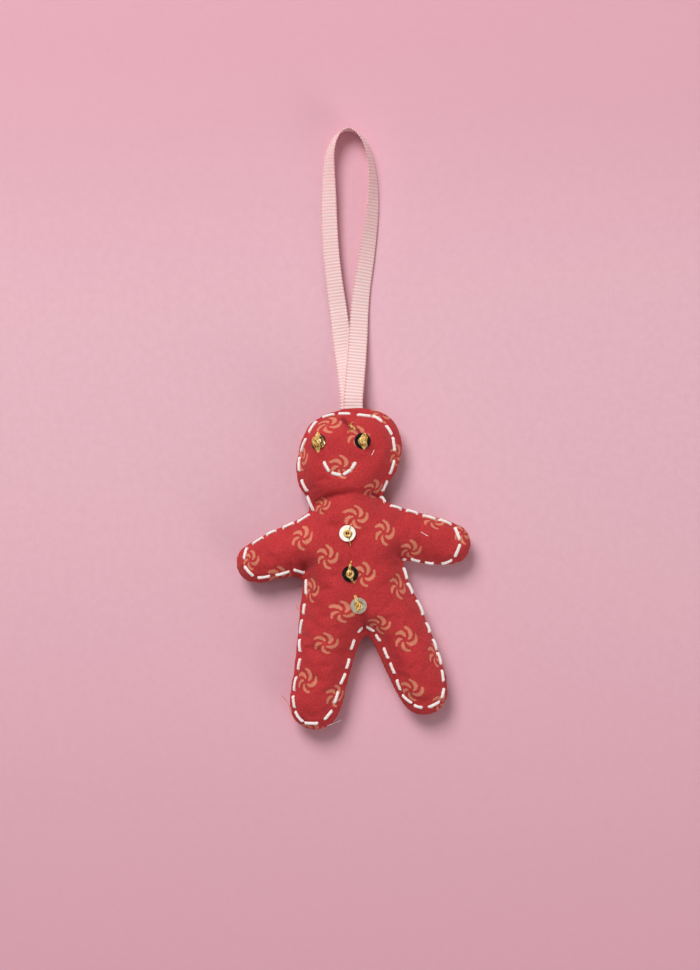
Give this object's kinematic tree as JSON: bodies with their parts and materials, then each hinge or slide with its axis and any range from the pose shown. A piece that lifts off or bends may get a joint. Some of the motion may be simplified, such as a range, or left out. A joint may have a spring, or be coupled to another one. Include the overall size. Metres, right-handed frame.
{
  "type": "stuffed fabric gingerbread man ornament",
  "caption": "Stuffed printed-cotton gingerbread man with a hand-sewn running-stitch edge, sequin and bead eyes and buttons, a stitched smile and a ribbon hanging loop.",
  "frame": {"origin": "on the table under the middle of the figure's own box, without the ribbon", "axes": "+Z out of the front, up from the table that the figure lies on; +Y towards the head; +X to the viewer's right"},
  "size_m": [0.0724, 0.1875, 0.0179],
  "materials": {
    "printed_cotton": "plain-weave quilting cotton, red with a small tan whirl print",
    "fibre_filling": "loose white polyester fibre",
    "white_floss": "stranded cotton embroidery floss",
    "mirror_foil": "silver mirror-foil film",
    "gold_bead": "polished gold",
    "gold_thread": "twisted metallic gold thread",
    "pink_ribbon": "ribbed grosgrain with looped selvedges"
  },
  "bodies": {
    "doll": {"front_panel": "printed_cotton", "back_panel": "printed_cotton", "head_stuffing": "fibre_filling", "torso_stuffing": "fibre_filling", "left_arm_stuffing": "fibre_filling", "right_arm_stuffing": "fibre_filling", "left_leg_stuffing": "fibre_filling", "right_leg_stuffing": "fibre_filling", "edge_stitching": "white_floss", "mouth_stitching": "white_floss", "left_eye_bead": "gold_bead", "left_eye_thread": "gold_thread", "right_eye_bead": "gold_bead", "right_eye_thread": "gold_thread", "top_button_bead": "gold_bead", "top_button_thread": "gold_thread", "middle_button_bead": "gold_bead", "middle_button_thread": "gold_thread", "bottom_button_bead": "gold_bead", "bottom_button_thread": "gold_thread", "forehead_stitch": "gold_thread", "ribbon_back_end": "pink_ribbon", "ribbon_front_end": "pink_ribbon"},
    "ribbon": {"ribbon_loop": "pink_ribbon"},
    "left_eye_disc": {"left_eye_sequin": "mirror_foil"},
    "right_eye_disc": {"right_eye_sequin": "mirror_foil"},
    "top_button_disc": {"top_button_sequin": "mirror_foil"},
    "middle_button_disc": {"middle_button_sequin": "mirror_foil"},
    "bottom_button_disc": {"bottom_button_sequin": "mirror_foil"}
  },
  "joints": [
    {"name": "ribbon_swing", "type": "hinge", "parent": "doll", "child": "ribbon", "pos_m": [-0.00044, 0.05087, 0.00585], "axis": [1, 0, 0], "range_deg": [-100, 100]},
    {"name": "left_eye_turn", "type": "hinge", "parent": "doll", "child": "left_eye_disc", "pos_m": [-0.01069, 0.03915, 0.01252], "axis": [-0.4807, 0.2657, 0.8356], "continuous": true},
    {"name": "right_eye_turn", "type": "hinge", "parent": "doll", "child": "right_eye_disc", "pos_m": [0.00278, 0.03951, 0.0139], "axis": [0.0775, 0.1233, 0.9893], "continuous": true},
    {"name": "top_button_turn", "type": "hinge", "parent": "doll", "child": "top_button_disc", "pos_m": [-0.00185, 0.01118, 0.01493], "axis": [-0.0141, 0.0342, 0.9993], "continuous": true},
    {"name": "middle_button_turn", "type": "hinge", "parent": "doll", "child": "middle_button_disc", "pos_m": [-0.00104, -0.00123, 0.015], "axis": [-0.0078, -0.016, 0.9998], "continuous": true},
    {"name": "bottom_button_turn", "type": "hinge", "parent": "doll", "child": "bottom_button_disc", "pos_m": [0.00157, -0.01096, 0.01457], "axis": [0.0269, -0.1061, 0.994], "continuous": true}
  ]
}
